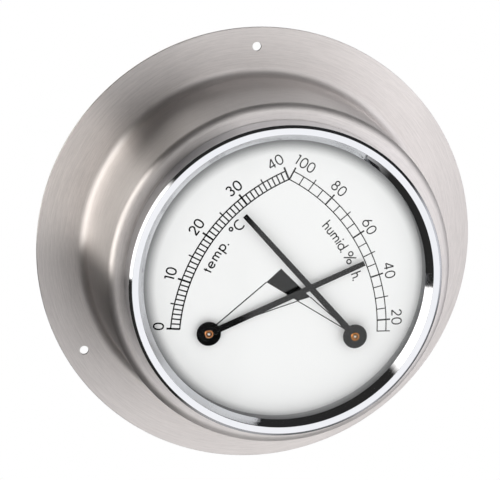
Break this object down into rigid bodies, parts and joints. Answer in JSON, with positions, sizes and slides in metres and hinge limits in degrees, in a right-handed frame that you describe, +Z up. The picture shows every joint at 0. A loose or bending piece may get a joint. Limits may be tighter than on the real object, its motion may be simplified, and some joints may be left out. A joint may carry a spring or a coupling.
{
  "type": "wall-mounted thermo-hygrometer",
  "caption": "Round wall instrument: flanged brushed housing, chrome bezel, flat glass and a white dial with two crossing pointers for temperature and relative humidity.",
  "frame": {"origin": "centre of the flange's back face, on the wall", "axes": "+Z up; the dial faces -Y, so the wall is towards +Y; +X is to the right as the dial is read"},
  "size_m": [0.132, 0.0477, 0.132],
  "materials": {
    "brushed_stainless": "circumferentially brushed",
    "polished_chrome": "mirror polished",
    "clear_glass": "flat, clear",
    "black_rubber": "matt",
    "grey_spacer": "matt moulded",
    "white_enamel": "satin white enamel",
    "black_lacquer": "semi-matt black lacquer",
    "dial_ink": "screen-printed black ink",
    "copper_alloy": "turned copper alloy",
    "brass": "fine-blanked, satin",
    "bright_steel": "bright nickel-plated",
    "bimetal_strip": "rolled strip",
    "coated_strip": "metal foil with a moisture-sensitive coating",
    "plated_case": "zinc plated, passivated"
  },
  "bodies": {
    "case": {"bezel_ring": "polished_chrome", "bridge_screws": "bright_steel", "dial_nuts": "bright_steel", "dial_plate": "white_enamel", "dial_spacer_ring": "grey_spacer", "flange_housing": "brushed_stainless", "front_glass": "clear_glass", "glass_gasket": "black_rubber", "housing_gasket": "black_rubber", "hygro_bridge": "brass", "hygro_front_bush": "brass", "hygro_rear_bush": "brass", "insert_case": "plated_case", "movement_plate": "brass", "regulator_washers": "bright_steel", "retaining_springs": "bright_steel", "spring_rivets": "bright_steel", "thermo_bridge": "brass", "thermo_front_bush": "brass", "thermo_rear_bush": "brass"},
    "thermo_setting": {"thermo_regulator": "bright_steel", "thermo_bimetal_coil": "bimetal_strip"},
    "thermo_movement": {"thermo_arbor": "bright_steel", "thermo_pointer": "black_lacquer", "thermo_pointer_collar": "copper_alloy", "thermo_collet": "brass"},
    "hygro_setting": {"hygro_regulator": "bright_steel", "hygro_strip_coil": "coated_strip"},
    "hygro_movement": {"hygro_arbor": "bright_steel", "hygro_pointer": "black_lacquer", "hygro_pointer_collar": "copper_alloy", "hygro_collet": "brass"}
  },
  "joints": [
    {"name": "thermo_setting_turn", "type": "hinge", "parent": "case", "child": "thermo_setting", "pos_m": [0.02165, -0.0228, -0.0164], "axis": [0, -1, 0], "range_deg": [-8, 8]},
    {"name": "thermo_reading", "type": "hinge", "parent": "thermo_setting", "child": "thermo_movement", "pos_m": [0.02165, -0.0432, -0.0164], "axis": [0, -1, 0], "range_deg": [-19.4, 43.6], "deforming": ["thermo_bimetal_coil"]},
    {"name": "hygro_setting_turn", "type": "hinge", "parent": "case", "child": "hygro_setting", "pos_m": [-0.02075, -0.0228, -0.0164], "axis": [0, -1, 0], "range_deg": [0, 16]},
    {"name": "hygro_reading", "type": "hinge", "parent": "hygro_setting", "child": "hygro_movement", "pos_m": [-0.02075, -0.0422, -0.0164], "axis": [0, -1, 0], "range_deg": [-24, 38.9], "deforming": ["hygro_strip_coil"]}
  ]
}
